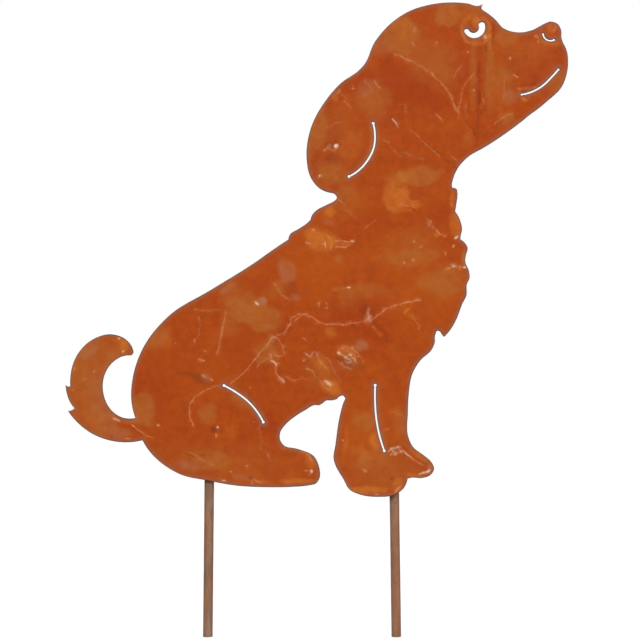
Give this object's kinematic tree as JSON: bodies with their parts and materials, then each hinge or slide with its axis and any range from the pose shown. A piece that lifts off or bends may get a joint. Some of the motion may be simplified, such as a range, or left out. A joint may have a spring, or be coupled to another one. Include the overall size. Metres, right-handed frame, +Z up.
{
  "type": "rusted sheet steel dog garden stake",
  "caption": "Flat rusted-steel silhouette of a sitting dog with cut-through slits, held up by round stakes that push into the ground.",
  "frame": {"origin": "midway between the two stakes at the ground line, on the plane of the stakes' axes", "axes": "+Z up; +X towards the dog's muzzle; the sheet stands in the XZ plane and its pictured face looks towards -Y"},
  "size_m": [0.3077, 0.0083, 0.5495],
  "materials": {
    "rusted_sheet": "sheet steel rusted orange-brown under a semi-gloss clear lacquer",
    "rusted_bar": "round steel bar with a dull brown rust and thin clear lacquer"
  },
  "bodies": {
    "root": {"dog_plate": "rusted_sheet", "rear_stake": "rusted_bar", "front_stake": "rusted_bar"}
  },
  "joints": []
}
